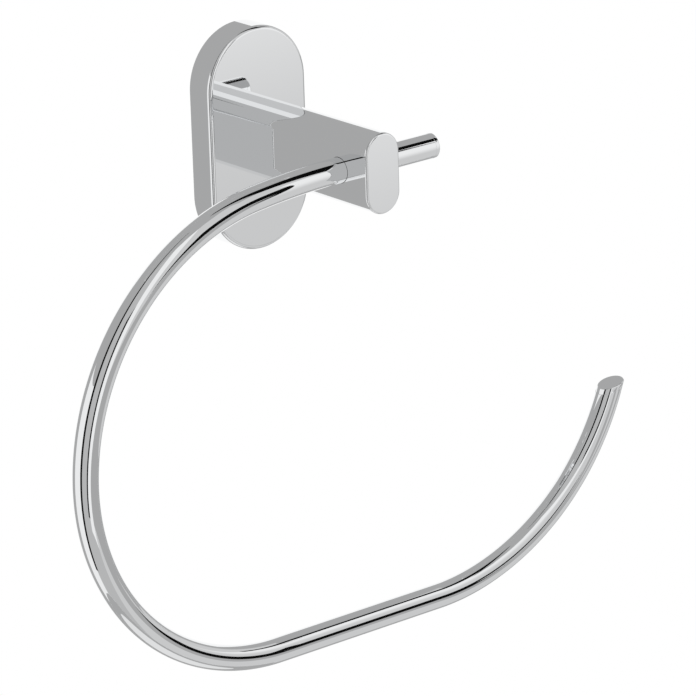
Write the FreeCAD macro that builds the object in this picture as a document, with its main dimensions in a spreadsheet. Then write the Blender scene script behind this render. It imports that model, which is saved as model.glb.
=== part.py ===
import FreeCAD, Part

import math
import os

import Sketcher
from FreeCAD import Placement, Rotation, Vector

# Towel ring, in millimetres. The wall is the plane Y = 0 and the ring stands off it towards -Y.
# +X runs along the wall, +Z is up, and the origin is the middle of the wall plate's back.

# Driving sizes: name, value, what it is
SIZES = (
    ("plate_width", 38.0, "wall plate, across"),
    ("plate_height", 71.5, "wall plate, top to bottom"),
    ("plate_depth", 9.8, "wall plate, off the wall"),
    ("plate_face", 2.2, "thickness of the plate's front"),
    ("plate_side", 1.8, "thickness of the plate's rim"),
    ("plate_round", 1.3, "radius along the plate's front edge"),
    ("foot_pad", 5.0, "height of the solid pad at the plate's lower end, inside the rim"),
    ("hook_height", 2.5, "how far the plate's hook hangs down inside the rim"),
    ("hook_depth", 1.5, "thickness of the plate's hook, off the wall"),
    ("arm_width", 13.0, "arm section, across"),
    ("arm_height", 25.4, "arm section, top to bottom"),
    ("arm_length", 59.2, "arm, from the plate's front to the tip"),
    ("arm_rise", 1.0, "middle of the arm above the middle of the plate"),
    ("arm_round", 0.7, "radius along the arm's tip edge"),
    ("bar_diameter", 8.0, "ring tube, outside"),
    ("bar_wall", 1.0, "ring tube, wall"),
    ("bar_setback", 13.0, "ring tube's middle behind the arm's tip"),
    ("bar_rise", 0.8, "ring tube's middle above the middle of the plate, where it crosses the arm"),
    ("bar_gap", 0.1, "gap all round the tube in the arm"),
    ("stub_length", 24.0, "stub beyond the arm's right side, cap included"),
    ("lead_length", 1.5, "straight run beyond the arm's left side"),
    ("lead_radius", 253.0, "first gentle bend"),
    ("lead_angle", 7.2, "turn of the first gentle bend, degrees"),
    ("upper_radius", 76.3, "upper left bend"),
    ("upper_angle", 80.3, "turn of the upper left bend, degrees"),
    ("lower_radius", 70.0, "lower left bend, which ends level"),
    ("foot_length", 64.1, "level run along the bottom"),
    ("free_radius", 80.2, "right bend, up to the free end"),
    ("free_angle", 70.3, "turn of the right bend, degrees"),
    ("free_slant", 33.0, "free end's face, turned from square, degrees"),
    ("cap_head", 1.6, "thickness of an end cap's head"),
    ("cap_round", 0.4, "radius along an end cap's edge"),
    ("cap_spigot", 3.5, "length of an end cap's spigot in the tube"),
    ("cap_gap", 0.2, "gap all round a spigot in the tube"),
    ("bracket_thickness", 3.5, "wall bracket, off the wall"),
    ("bracket_gap", 0.3, "gap all round the bracket inside the plate"),
    ("tab_width", 11.0, "bracket's lower tab, across"),
    ("tab_height", 3.6, "bracket's lower tab, top to bottom"),
    ("tab_gap", 0.5, "tab's end behind the plate's front"),
    ("seat_depth", 1.0, "depth of the set screw's seat in the tab"),
    ("wall_hole_spacing", 40.0, "wall screw holes, one to the other"),
    ("wall_hole_diameter", 4.5, "wall screw holes"),
    ("arm_screw_spacing", 14.0, "arm screws, one to the other"),
    ("arm_screw_diameter", 4.0, "arm screw thread"),
    ("arm_screw_length", 12.0, "arm screw under its head"),
    ("arm_screw_head", 7.4, "arm screw head, across"),
    ("arm_head_height", 2.4, "arm screw head, high"),
    ("washer_diameter", 7.6, "lock washer, across"),
    ("washer_thickness", 0.8, "lock washer"),
    ("set_screw_diameter", 4.0, "set screw thread"),
    ("lock_screw_length", 6.0, "set screw in the plate"),
    ("ring_screw_length", 6.0, "set screw in the arm"),
    ("lock_screw_depth", 4.5, "set screw in the plate, middle off the wall"),
    ("socket_width", 2.0, "set screw's hexagon socket, across the flats"),
    ("socket_depth", 2.2, "set screw's hexagon socket, deep"),
    ("recess_width", 0.9, "slots of the cross recess"),
    ("recess_length", 4.0, "cross recess, end to end"),
    ("recess_depth", 1.3, "cross recess, deep"),
    ("thread_gap", 0.05, "gap round a thread in its tapped hole"),
    ("screw_gap", 0.25, "gap round a screw in its clearance hole"),
    ("point_gap", 0.05, "gap at a set screw's point"),
    ("tap_spare", 2.0, "tapped hole beyond the screw's end"),
)
SIZE = {name: value for name, value, meaning in SIZES}

# Places that several pieces share, as formulas of the sheet
BAR_DEPTH = "(sheet.plate_depth + sheet.arm_length - sheet.bar_setback)"
STUB_JOINT = "(sheet.arm_width / 2 + sheet.stub_length - sheet.cap_head)"
LEAD_END = "(sheet.arm_width / 2 + sheet.lead_length)"
LEAD_TURN = "(sheet.lead_angle * 1 deg)"
UPPER_TURN = "((sheet.lead_angle + sheet.upper_angle) * 1 deg)"
FREE_TURN = "(sheet.free_angle * 1 deg)"
FREE_SLANT = "(sheet.free_slant * 1 deg)"
CAVITY_WIDTH = "(sheet.plate_width - 2 * sheet.plate_side)"
CAVITY_HEIGHT = "(sheet.plate_height - 2 * sheet.plate_side)"
CAVITY_DEPTH = "(sheet.plate_depth - sheet.plate_face)"
PAD_TOP = "(sheet.plate_height / 2 - sheet.plate_side - sheet.foot_pad)"
HOOK_EDGE = "(sheet.plate_height / 2 - sheet.plate_side - sheet.hook_height)"
BRACKET_FOOT = f"({PAD_TOP} - sheet.bracket_gap)"
SEAT_TOP = f"({BRACKET_FOOT} - sheet.seat_depth)"

# The ring's right-hand end, followed round its bends from the arm's left side
AFTER_LOWER_X = (
    f"(-{LEAD_END} - sheet.lead_radius * sin({LEAD_TURN})"
    f" + sheet.upper_radius * (sin({LEAD_TURN}) - sin({UPPER_TURN}))"
    f" + sheet.lower_radius * sin({UPPER_TURN}))"
)
AFTER_LOWER_Z = (
    f"(sheet.bar_rise - sheet.lead_radius * (1 - cos({LEAD_TURN}))"
    f" - sheet.upper_radius * (cos({LEAD_TURN}) - cos({UPPER_TURN}))"
    f" - sheet.lower_radius * (1 + cos({UPPER_TURN})))"
)
FREE_END_X = f"({AFTER_LOWER_X} + sheet.foot_length + sheet.free_radius * sin({FREE_TURN}))"
FREE_END_Z = f"({AFTER_LOWER_Z} + sheet.free_radius * (1 - cos({FREE_TURN})))"

FLAT = 1e-4  # how near an edge lies to a plane to count as on it

doc = FreeCAD.newDocument("towel_ring")


def make_sheet():
    """Driving sizes, one to a row, each under its own name."""
    sheet = doc.addObject("Spreadsheet::Sheet", "sheet")
    for row, (name, value, meaning) in enumerate(SIZES, start=1):
        sheet.set(f"A{row}", meaning)
        sheet.set(f"B{row}", str(value))
        sheet.setAlias(f"B{row}", name)
    doc.recompute()


def new_body(label):
    """A sub-part; its label names its file."""
    body = doc.addObject("PartDesign::Body", label)
    body.Label = label
    return body


def bind(thing, rules):
    """Ties properties to formulas of the sheet."""
    for name, formula in rules.items():
        thing.setExpression(name, formula)


def new_sketch(body, role, name, lift=None):
    """A sketch on one of the body's own planes, lifted off it along the plane's normal."""
    plane = next(p for p in body.Origin.OriginFeatures if p.Role == role)
    sketch = body.newObject("Sketcher::SketchObject", name)
    sketch.AttachmentSupport = [(plane, "")]
    sketch.MapMode = "FlatFace"
    if lift:
        sketch.setExpression("AttachmentOffset.Base.z", lift)
    return sketch


def number(sketch, formula):
    """A formula's present value, for a sketch's first guess."""
    value = sketch.evalExpression(formula)
    return getattr(value, "Value", value)


def tie(sketch, kind, *where, formula):
    """One dimension of a sketch, bound to a formula. Its first value is worked out from it."""
    value = number(sketch, formula)
    if kind == "Angle":
        value = math.radians(value)
    index = sketch.addConstraint(Sketcher.Constraint(kind, *where, value))
    sketch.setExpression(f"Constraints[{index}]", formula)


def draw_closed(sketch, corners):
    """Straight sides from corner to corner, joined into one closed outline."""
    points = [Vector(across, up, 0) for across, up in corners]
    for start, end in zip(points, points[1:] + points[:1]):
        sketch.addGeometry(Part.LineSegment(start, end), False)
    for side in range(len(points)):
        following = (side + 1) % len(points)
        sketch.addConstraint(Sketcher.Constraint("Coincident", side, 2, following, 1))


def draw_circle(sketch, diameter, across="0", up="0"):
    """A circle round the point (across, up)."""
    centre = Vector(number(sketch, across), number(sketch, up), 0)
    radius = number(sketch, diameter) / 2
    circle = sketch.addGeometry(Part.Circle(centre, Vector(0, 0, 1), radius), False)
    tie(sketch, "DistanceX", -1, 1, circle, 3, formula=across)
    tie(sketch, "DistanceY", -1, 1, circle, 3, formula=up)
    tie(sketch, "Diameter", circle, formula=diameter)


def draw_box(sketch, left, right, low, high):
    """An upright rectangle between four formulas."""
    x0, x1, z0, z1 = (number(sketch, formula) for formula in (left, right, low, high))
    draw_closed(sketch, ((x0, z0), (x1, z0), (x1, z1), (x0, z1)))
    for side, kind in enumerate(("Horizontal", "Vertical", "Horizontal", "Vertical")):
        sketch.addConstraint(Sketcher.Constraint(kind, side))
    tie(sketch, "DistanceX", -1, 1, 0, 1, formula=left)
    tie(sketch, "DistanceX", -1, 1, 0, 2, formula=right)
    tie(sketch, "DistanceY", -1, 1, 0, 1, formula=low)
    tie(sketch, "DistanceY", -1, 1, 2, 1, formula=high)


def draw_obround(sketch, width, height, up="0"):
    """An upright outline with round ends, its middle at the height 'up'."""
    half = number(sketch, width) / 2
    top = number(sketch, f"{up} + ({height} - {width}) / 2")
    low = number(sketch, f"{up} - ({height} - {width}) / 2")
    turn = math.pi
    crown = Part.ArcOfCircle(Part.Circle(Vector(0, top, 0), Vector(0, 0, 1), half), 0, turn)
    sole = Part.ArcOfCircle(Part.Circle(Vector(0, low, 0), Vector(0, 0, 1), half), turn, 2 * turn)
    upper = sketch.addGeometry(crown, False)
    left = sketch.addGeometry(Part.LineSegment(Vector(-half, top, 0), Vector(-half, low, 0)), False)
    lower = sketch.addGeometry(sole, False)
    right = sketch.addGeometry(Part.LineSegment(Vector(half, low, 0), Vector(half, top, 0)), False)
    for one, other in ((upper, left), (left, lower), (lower, right), (right, upper)):
        sketch.addConstraint(Sketcher.Constraint("Tangent", one, 2, other, 1))
    for arc, sign in ((upper, "+"), (lower, "-")):
        sketch.addConstraint(Sketcher.Constraint("PointOnObject", arc, 3, -2))
        tie(sketch, "DistanceY", -1, 1, arc, 3, formula=f"{up} {sign} ({height} - {width}) / 2")
        tie(sketch, "Radius", arc, formula=f"{width} / 2")


def add_pad(body, sketch, length, name):
    """Material on the side that the sketch's normal points to."""
    pad = body.newObject("PartDesign::Pad", name)
    pad.Profile = sketch
    pad.setExpression("Length", length)
    doc.recompute()
    return pad


def add_pocket(body, sketch, length, name, along_normal=True, midplane=False):
    """A cut of a given depth; it stops the build when it removes nothing."""
    before = body.Shape.Volume
    pocket = body.newObject("PartDesign::Pocket", name)
    pocket.Profile = sketch
    pocket.Reversed = along_normal
    pocket.Midplane = midplane
    pocket.setExpression("Length", length)
    doc.recompute()
    if body.Shape.Volume > before - FLAT:
        raise RuntimeError(f"{name} cuts nothing")
    return pocket


def add_round(body, kind, size, edges, name):
    """A fillet or chamfer of one size along the named edges of the body's last feature."""
    base = body.Tip
    feature = body.newObject(f"PartDesign::{kind}", name)
    feature.Base = (base, edges)
    feature.setExpression("Radius" if kind == "Fillet" else "Size", size)
    doc.recompute()
    return feature


def edges_where(shape, test):
    """Names of the edges that pass a test."""
    return [f"Edge{index}" for index, edge in enumerate(shape.Edges, start=1) if test(edge)]


def flat_at(axis, value):
    """Test for an edge that lies in the plane where the axis has this value."""
    def test(edge):
        box = edge.BoundBox
        low, high = getattr(box, f"{axis}Min"), getattr(box, f"{axis}Max")
        return abs(low - value) < FLAT and abs(high - value) < FLAT
    return test


def screw_heights():
    """The two arm screws: name and height of each."""
    for name, sign in (("upper", "+"), ("lower", "-")):
        yield name, f"(sheet.arm_rise {sign} sheet.arm_screw_spacing / 2)"


def make_plate():
    """Wall plate: a round-ended cover, hollow behind, with a hook on top and a solid pad below."""
    body = new_body("wall_plate_cover")
    outline = new_sketch(body, "XZ_Plane", "plate_outline")
    draw_obround(outline, "sheet.plate_width", "sheet.plate_height")
    add_pad(body, outline, "sheet.plate_depth", "plate_block")
    front = edges_where(body.Shape, flat_at("Y", -SIZE["plate_depth"]))
    add_round(body, "Fillet", "sheet.plate_round", front, "plate_front_round")

    # The mouth at the wall, which stops short of the hook above and the pad below
    mouth = new_sketch(body, "XZ_Plane", "plate_mouth")
    draw_trimmed_obround(mouth, "0", HOOK_EDGE, PAD_TOP)
    add_pocket(body, mouth, "sheet.hook_depth", "plate_mouth_cut")

    # The chamber behind the front, which reaches up over the hook
    chamber = new_sketch(body, "XZ_Plane", "plate_chamber", "sheet.hook_depth")
    draw_trimmed_obround(chamber, "0", None, PAD_TOP)
    add_pocket(body, chamber, f"{CAVITY_DEPTH} - sheet.hook_depth", "plate_chamber_cut")

    holes = new_sketch(body, "XZ_Plane", "plate_screw_holes", CAVITY_DEPTH)
    for name, height in screw_heights():
        draw_circle(holes, "sheet.arm_screw_diameter + 2 * sheet.screw_gap", up=height)
    add_pocket(body, holes, "2 * sheet.plate_face", "plate_screw_hole_cut")

    lock = new_sketch(body, "XY_Plane", "plate_lock_hole", f"-{PAD_TOP}")
    draw_circle(lock, "sheet.set_screw_diameter + 2 * sheet.thread_gap", up="-sheet.lock_screw_depth")
    depth = "2 * (sheet.foot_pad + sheet.plate_side)"
    add_pocket(body, lock, depth, "plate_lock_hole_cut", along_normal=False)
    return body


def draw_trimmed_obround(sketch, inset, top, bottom):
    """The plate's chamber outline, drawn in by 'inset' and cut level at the bottom and maybe the top."""
    width = f"({CAVITY_WIDTH} - 2 * {inset})"
    shoulder = f"(({CAVITY_HEIGHT} - {CAVITY_WIDTH}) / 2)"
    half, middle = number(sketch, f"{width} / 2"), number(sketch, shoulder)
    low = number(sketch, bottom)
    reach = math.acos(max(-1.0, min(1.0, (low - middle) / half)))
    start = Vector(-half * math.sin(reach), -low, 0)

    def arc(height, first, last):
        circle = Part.Circle(Vector(0, height, 0), Vector(0, 0, 1), half)
        return sketch.addGeometry(Part.ArcOfCircle(circle, first, last), False)

    lower_left = arc(-middle, math.pi, 1.5 * math.pi - reach)
    floor = sketch.addGeometry(Part.LineSegment(start, Vector(-start.x, start.y, 0)), False)
    lower_right = arc(-middle, 1.5 * math.pi + reach, 2 * math.pi)
    right = sketch.addGeometry(Part.LineSegment(Vector(half, -middle, 0), Vector(half, middle, 0)), False)
    chain = [lower_left, floor, lower_right, right]
    arcs = [(lower_left, "-"), (lower_right, "-")]
    level = [(floor, f"-{bottom}")]
    if top:
        high = number(sketch, top)
        rise = math.acos(max(-1.0, min(1.0, (high - middle) / half)))
        corner = Vector(half * math.sin(rise), high, 0)
        upper_right = arc(middle, 0, math.pi / 2 - rise)
        roof = sketch.addGeometry(Part.LineSegment(corner, Vector(-corner.x, high, 0)), False)
        upper_left = arc(middle, math.pi / 2 + rise, math.pi)
        chain += [upper_right, roof, upper_left]
        arcs += [(upper_right, "+"), (upper_left, "+")]
        level.append((roof, top))
    else:
        crown = arc(middle, 0, math.pi)
        chain.append(crown)
        arcs.append((crown, "+"))
    left = sketch.addGeometry(Part.LineSegment(Vector(-half, middle, 0), Vector(-half, -middle, 0)), False)
    chain.append(left)

    flat = {line for line, height in level}
    for one, other in zip(chain, chain[1:] + chain[:1]):
        kind = "Coincident" if one in flat or other in flat else "Tangent"
        sketch.addConstraint(Sketcher.Constraint(kind, one, 2, other, 1))
    for line, height in level:
        sketch.addConstraint(Sketcher.Constraint("Horizontal", line))
        tie(sketch, "DistanceY", -1, 1, line, 1, formula=height)
    for curve, sign in arcs:
        sketch.addConstraint(Sketcher.Constraint("PointOnObject", curve, 3, -2))
        tie(sketch, "DistanceY", -1, 1, curve, 3, formula=f"{sign}1 * {shoulder}")
        tie(sketch, "Radius", curve, formula=f"{width} / 2")


def make_arm():
    """Arm: one solid round-ended bar, bored across for the ring and tapped behind and below."""
    body = new_body("arm")
    outline = new_sketch(body, "XZ_Plane", "arm_outline", "sheet.plate_depth")
    draw_obround(outline, "sheet.arm_width", "sheet.arm_height", "sheet.arm_rise")
    add_pad(body, outline, "sheet.arm_length", "arm_block")
    tip = edges_where(body.Shape, flat_at("Y", -SIZE["plate_depth"] - SIZE["arm_length"]))
    add_round(body, "Fillet", "sheet.arm_round", tip, "arm_tip_round")

    cross = new_sketch(body, "YZ_Plane", "arm_bore")
    draw_circle(cross, "sheet.bar_diameter + 2 * sheet.bar_gap", f"-{BAR_DEPTH}", "sheet.bar_rise")
    add_pocket(body, cross, "2 * sheet.arm_width", "arm_bore_cut", midplane=True)

    taps = new_sketch(body, "XZ_Plane", "arm_taps", "sheet.plate_depth")
    for name, height in screw_heights():
        draw_circle(taps, "sheet.arm_screw_diameter + 2 * sheet.thread_gap", up=height)
    reach = "sheet.arm_screw_length - sheet.washer_thickness - sheet.plate_face + sheet.tap_spare"
    add_pocket(body, taps, reach, "arm_tap_cut")

    under = new_sketch(body, "XY_Plane", "arm_set_tap", "sheet.bar_rise")
    draw_circle(under, "sheet.set_screw_diameter + 2 * sheet.thread_gap", up=f"-{BAR_DEPTH}")
    add_pocket(body, under, "2 * sheet.arm_height", "arm_set_tap_cut", along_normal=False)
    return body


def make_ring():
    """Ring: one tube, from the stub through the arm, round the left side and up to the free end."""
    body = new_body("ring_tube")
    path = new_sketch(body, "XZ_Plane", "ring_path", BAR_DEPTH)

    # Straight runs and tangent bends in order: radius (None where straight), then length or turn.
    # The last run is the spare that the slanting cut takes off.
    pieces = (
        (None, f"{STUB_JOINT} + {LEAD_END}"),
        ("sheet.lead_radius", LEAD_TURN),
        ("sheet.upper_radius", "(sheet.upper_angle * 1 deg)"),
        ("sheet.lower_radius", f"(180 deg - {UPPER_TURN})"),
        (None, "sheet.foot_length"),
        ("sheet.free_radius", FREE_TURN),
        (None, f"(sheet.bar_diameter * tan({FREE_SLANT}))"),
    )
    here = Vector(number(path, STUB_JOINT), number(path, "sheet.bar_rise"), 0)
    heading = math.pi
    for edge, (radius, measure) in enumerate(pieces):
        if radius is None:
            forward = Vector(math.cos(heading), math.sin(heading), 0)
            there = here + forward * number(path, measure)
            path.addGeometry(Part.LineSegment(here, there), False)
        else:
            bend, turn = number(path, radius), math.radians(number(path, measure))
            centre = here + Vector(-math.sin(heading), math.cos(heading), 0) * bend
            circle = Part.Circle(centre, Vector(0, 0, 1), bend)
            first = heading - math.pi / 2
            path.addGeometry(Part.ArcOfCircle(circle, first, first + turn), False)
            heading += turn
            there = centre + Vector(math.sin(heading), -math.cos(heading), 0) * bend
        if edge:
            path.addConstraint(Sketcher.Constraint("Tangent", edge - 1, 2, edge, 1))
        else:
            path.addConstraint(Sketcher.Constraint("Horizontal", edge))
            tie(path, "DistanceX", -1, 1, edge, 1, formula=STUB_JOINT)
            tie(path, "DistanceY", -1, 1, edge, 1, formula="sheet.bar_rise")
        if radius is None:
            tie(path, "Distance", edge, formula=measure)
        else:
            tie(path, "Radius", edge, formula=radius)
            tie(path, "Angle", edge, formula=measure)
        here = there

    section = new_sketch(body, "YZ_Plane", "ring_section", STUB_JOINT)
    draw_circle(section, "sheet.bar_diameter", f"-{BAR_DEPTH}", "sheet.bar_rise")
    draw_circle(section, "sheet.bar_diameter - 2 * sheet.bar_wall", f"-{BAR_DEPTH}", "sheet.bar_rise")
    pipe = body.newObject("PartDesign::AdditivePipe", "ring_sweep")
    pipe.Profile = section
    pipe.Spine = (path, [f"Edge{edge}" for edge in range(1, len(pieces) + 1)])
    doc.recompute()

    # The slanting cut at the free end, parallel to the end face and a cap head behind it
    cut = new_sketch(body, "XZ_Plane", "ring_end_cut")
    lean = f"({FREE_TURN} + {FREE_SLANT} - 90 deg)"
    joint_x = f"({FREE_END_X} + sheet.cap_head * sin({lean}))"
    joint_z = f"({FREE_END_Z} - sheet.cap_head * cos({lean}))"
    draw_slant(cut, joint_x, joint_z, lean, "above")
    add_pocket(body, cut, f"{BAR_DEPTH} + sheet.bar_diameter", "ring_end_trim")
    return body


def draw_slant(sketch, across, up, turn, side):
    """A cutting box with one side through (across, up), leaning by 'turn'; it lies above it, or below."""
    lean = math.radians(number(sketch, turn))
    x, z = number(sketch, across), number(sketch, up)
    half = number(sketch, "2 * sheet.bar_diameter")
    run, rise = half * math.cos(lean), half * math.sin(lean)
    out = 1 if side == "above" else -1
    start, end = (x - run, z - rise), (x + run, z + rise)
    far_end = (end[0] - out * rise, end[1] + out * run)
    far_start = (start[0] - out * rise, start[1] + out * run)
    draw_closed(sketch, (start, end, far_end, far_start))
    for edge in range(3):
        sketch.addConstraint(Sketcher.Constraint("Perpendicular", edge, edge + 1))
    tie(sketch, "Angle", 0, formula=turn)
    tie(sketch, "Distance", 0, formula="4 * sheet.bar_diameter")
    tie(sketch, "Distance", 1, formula="2 * sheet.bar_diameter")
    tie(sketch, "DistanceX", -1, 1, 0, 1, formula=f"{across} - 2 * sheet.bar_diameter * cos({turn})")
    tie(sketch, "DistanceY", -1, 1, 0, 1, formula=f"{up} - 2 * sheet.bar_diameter * sin({turn})")


def make_cap(label, slant, bend):
    """End cap: a head flush with the tube and a spigot inside it, along its own Z, face at Z = 0."""
    body = new_body(label)
    reach = f"(sheet.cap_head / cos({slant}))"
    lean = f"(sheet.bar_diameter * tan({slant}) / 2)"
    head = new_sketch(body, "XY_Plane", "cap_head", f"-{reach} - {lean}")
    draw_circle(head, "sheet.bar_diameter")
    add_pad(body, head, f"{reach} + 2 * {lean}", "cap_block")
    if number(head, slant) > FLAT:
        for name, height, side in (("cap_face", "0", "above"), ("cap_joint", f"-{reach}", "below")):
            cut = new_sketch(body, "XZ_Plane", f"{name}_cut")
            draw_slant(cut, "0", height, slant, side)
            add_pocket(body, cut, "2 * sheet.bar_diameter", f"{name}_trim", midplane=True)
    face = max(body.Shape.Faces, key=lambda piece: piece.CenterOfMass.z)
    rim = edges_where(body.Shape, lambda edge: any(edge.isSame(other) for other in face.Edges))
    add_round(body, "Fillet", "sheet.cap_round", rim, "cap_edge_round")

    # The spigot is thinner where the tube bends round it
    spigot = new_sketch(body, "XY_Plane", "cap_spigot", f"-{reach} - {lean} - sheet.cap_spigot")
    inside = "sheet.bar_diameter - 2 * (sheet.bar_wall + sheet.cap_gap)"
    draw_circle(spigot, f"{inside} - ({bend})")
    add_pad(body, spigot, f"{lean} + sheet.cap_spigot + {reach} / 2", "cap_plug")
    return body


def make_bracket():
    """Wall bracket: a flat plate inside the cover, rebated behind its top edge, with a tab below."""
    body = new_body("wall_bracket")
    outline = new_sketch(body, "XZ_Plane", "bracket_outline")
    draw_trimmed_obround(outline, "sheet.bracket_gap", None, BRACKET_FOOT)
    add_pad(body, outline, "sheet.bracket_thickness", "bracket_plate")

    tab = new_sketch(body, "XZ_Plane", "bracket_tab")
    half = "sheet.tab_width / 2"
    draw_box(tab, f"-{half}", half, f"-{BRACKET_FOOT}", f"-{BRACKET_FOOT} + sheet.tab_height")
    add_pad(body, tab, f"{CAVITY_DEPTH} - sheet.tab_gap", "bracket_tab_block")

    rebate = new_sketch(body, "XZ_Plane", "bracket_rebate")
    half = "sheet.plate_width / 2"
    draw_box(rebate, f"-{half}", half, f"{HOOK_EDGE} - sheet.bracket_gap", "sheet.plate_height / 2")
    add_pocket(body, rebate, "sheet.hook_depth + sheet.bracket_gap", "bracket_rebate_cut")

    holes = new_sketch(body, "XZ_Plane", "bracket_holes")
    for sign in ("", "-"):
        draw_circle(holes, "sheet.wall_hole_diameter", up=f"{sign}sheet.wall_hole_spacing / 2")
    add_pocket(body, holes, "2 * sheet.bracket_thickness", "bracket_hole_cut")

    seat = new_sketch(body, "XY_Plane", "bracket_seat", f"-{BRACKET_FOOT}")
    draw_circle(seat, "sheet.set_screw_diameter + 2 * sheet.screw_gap", up="-sheet.lock_screw_depth")
    add_pocket(body, seat, "sheet.seat_depth", "bracket_seat_cut")
    return body


def make_pan_screw(label):
    """Pan head screw along its own Z: the head lies under Z = 0 and the thread runs up from it."""
    body = new_body(label)
    head = new_sketch(body, "XY_Plane", "screw_head", "-sheet.arm_head_height")
    draw_circle(head, "sheet.arm_screw_head")
    add_pad(body, head, "sheet.arm_head_height", "screw_head_block")
    crown = edges_where(body.Shape, flat_at("Z", -SIZE["arm_head_height"]))
    add_round(body, "Fillet", "sheet.arm_head_height / 2", crown, "screw_crown")
    thread = new_sketch(body, "XY_Plane", "screw_thread")
    draw_circle(thread, "sheet.arm_screw_diameter")
    add_pad(body, thread, "sheet.arm_screw_length", "screw_thread_block")
    recess = new_sketch(body, "XY_Plane", "screw_recess", "-sheet.arm_head_height")
    draw_cross(recess)
    add_pocket(body, recess, "sheet.recess_depth", "screw_recess_cut")
    return body


def draw_cross(sketch):
    """The outline of a cross recess: two slots across each other, as one closed line."""
    reach, half = "sheet.recess_length / 2", "sheet.recess_width / 2"
    quarter = ((reach, f"-{half}"), (reach, half), (half, half))
    corners = list(quarter)
    for step in range(3):
        quarter = [(f"-1 * ({up})", across) for across, up in quarter]
        corners += quarter
    draw_closed(sketch, [(number(sketch, across), number(sketch, up)) for across, up in corners])
    for side, (across, up) in enumerate(corners):
        tie(sketch, "DistanceX", -1, 1, side, 1, formula=across)
        tie(sketch, "DistanceY", -1, 1, side, 1, formula=up)


def make_set_screw(label, length):
    """Set screw along its own Z, from its socket end at Z = 0 to its point."""
    body = new_body(label)
    thread = new_sketch(body, "XY_Plane", "set_thread")
    draw_circle(thread, "sheet.set_screw_diameter")
    add_pad(body, thread, length, "set_thread_block")
    point = edges_where(body.Shape, flat_at("Z", number(thread, length)))
    add_round(body, "Chamfer", "sheet.set_screw_diameter / 8", point, "set_point")
    socket = new_sketch(body, "XY_Plane", "set_socket")
    draw_hexagon(socket, "sheet.socket_width")
    add_pocket(body, socket, "sheet.socket_depth", "set_socket_cut")
    return body


def draw_hexagon(sketch, flats):
    """A hexagon by its width across the flats, round a construction circle."""
    corner = number(sketch, flats) / math.sqrt(3)
    turns = [math.radians(60 * step) for step in range(6)]
    draw_closed(sketch, [(corner * math.cos(turn), corner * math.sin(turn)) for turn in turns])
    circle = sketch.addGeometry(Part.Circle(Vector(), Vector(0, 0, 1), corner), True)
    sketch.addConstraint(Sketcher.Constraint("Coincident", circle, 3, -1, 1))
    tie(sketch, "Diameter", circle, formula=f"2 * {flats} / sqrt(3)")
    sketch.addConstraint(Sketcher.Constraint("PointOnObject", 0, 1, -1))
    for side in range(6):
        sketch.addConstraint(Sketcher.Constraint("PointOnObject", side, 1, circle))
    for side in range(1, 6):
        sketch.addConstraint(Sketcher.Constraint("Equal", 0, side))


def make_washer(label):
    """Lock washer along its own Z, from Z = 0."""
    body = new_body(label)
    outline = new_sketch(body, "XY_Plane", "washer_outline")
    draw_circle(outline, "sheet.washer_diameter")
    draw_circle(outline, "sheet.arm_screw_diameter + 2 * sheet.screw_gap")
    add_pad(body, outline, "sheet.washer_thickness", "washer_ring")
    return body


def place(body, turn, across="0", depth="0", up="0"):
    """Stands a sub-part in the frame: turned about its own origin, then moved."""
    body.Placement = Placement(Vector(), turn)
    bind(body, {
        "Placement.Base.x": across,
        "Placement.Base.y": f"-({depth})",
        "Placement.Base.z": up,
    })


def assemble():
    """Makes every sub-part in its place."""
    upright, off_wall = Rotation(), Rotation(Vector(1, 0, 0), 90)
    to_right = Rotation(Vector(0, 1, 0), 90)
    bodies = [make_plate(), make_arm(), make_ring(), make_bracket()]

    stub = make_cap("stub_cap", "(0 deg)", "0")
    place(stub, to_right, f"{STUB_JOINT} + sheet.cap_head", BAR_DEPTH, "sheet.bar_rise")
    lever = f"(sheet.cap_spigot + sheet.cap_head + sheet.bar_diameter * tan({FREE_SLANT}) / 2)"
    free = make_cap("free_end_cap", FREE_SLANT, f"{lever} ^ 2 / sheet.free_radius")
    place(free, Rotation(Vector(0, 1, 0), 90 - SIZE["free_angle"]), FREE_END_X, BAR_DEPTH, FREE_END_Z)
    free.setExpression("Placement.Rotation.Angle", f"90 deg - {FREE_TURN}")
    bodies += [stub, free]

    seat = f"{CAVITY_DEPTH} - sheet.washer_thickness"
    for name, height in screw_heights():
        screw, washer = make_pan_screw(f"arm_screw_{name}"), make_washer(f"arm_washer_{name}")
        for body in (screw, washer):
            place(body, off_wall, "0", seat, height)
        bodies += [screw, washer]

    lock = make_set_screw("plate_set_screw", "sheet.lock_screw_length")
    lock_base = f"-{SEAT_TOP} - sheet.point_gap - sheet.lock_screw_length"
    place(lock, upright, "0", "sheet.lock_screw_depth", lock_base)
    grip = make_set_screw("ring_set_screw", "sheet.ring_screw_length")
    grip_base = "sheet.bar_rise - sheet.bar_diameter / 2 - sheet.point_gap - sheet.ring_screw_length"
    place(grip, upright, "0", BAR_DEPTH, grip_base)
    bodies += [lock, grip]
    doc.recompute()
    return bodies


def check(bodies):
    """Stops if any feature failed or a sub-part isn't one sound solid."""
    for thing in doc.Objects:
        if {"Invalid", "Error"} & set(thing.State):
            raise RuntimeError(f"{thing.Name} failed: {thing.State}")
    for body in bodies:
        shape = body.Shape
        if shape.isNull() or not shape.isValid() or len(shape.Solids) != 1:
            raise RuntimeError(f"{body.Label} isn't one sound solid")


make_sheet()
sub_parts = assemble()
check(sub_parts)
os.makedirs("parts", exist_ok=True)
for sub_part in sub_parts:
    sub_part.Shape.exportStep(os.path.join("parts", f"{sub_part.Label}.step"))
    print(f"{sub_part.Label:18} {sub_part.Shape.Volume:9.1f} mm3")
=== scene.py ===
import math

import bmesh
import bpy
import numpy as np
from mathutils import Matrix, Vector


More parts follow.
